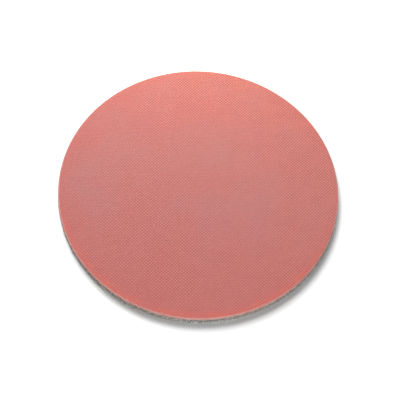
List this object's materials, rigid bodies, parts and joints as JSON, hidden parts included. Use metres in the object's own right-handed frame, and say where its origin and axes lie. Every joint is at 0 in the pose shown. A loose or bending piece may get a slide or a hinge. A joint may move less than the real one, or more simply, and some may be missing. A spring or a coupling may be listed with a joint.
{
  "type": "foam-backed sanding disc",
  "caption": "Flat round finishing disc: a pink structured abrasive sheet on a grey foam cushion with a loop fabric back for a hook pad.",
  "frame": {"origin": "centre of the loop face, on the surface that the disc lies on", "axes": "+Z along the disc's axis, out of the abrasive face; X and Y in the disc's plane"},
  "size_m": [0.1506, 0.1506, 0.0069],
  "materials": {
    "abrasive_coat": "matte",
    "film": "satin",
    "foam": "matte",
    "loop_fabric": "matte"
  },
  "bodies": {
    "root": {"abrasive_face": "abrasive_coat", "carrier_film": "film", "foam_cushion": "foam", "loop_backing": "loop_fabric"}
  },
  "joints": []
}
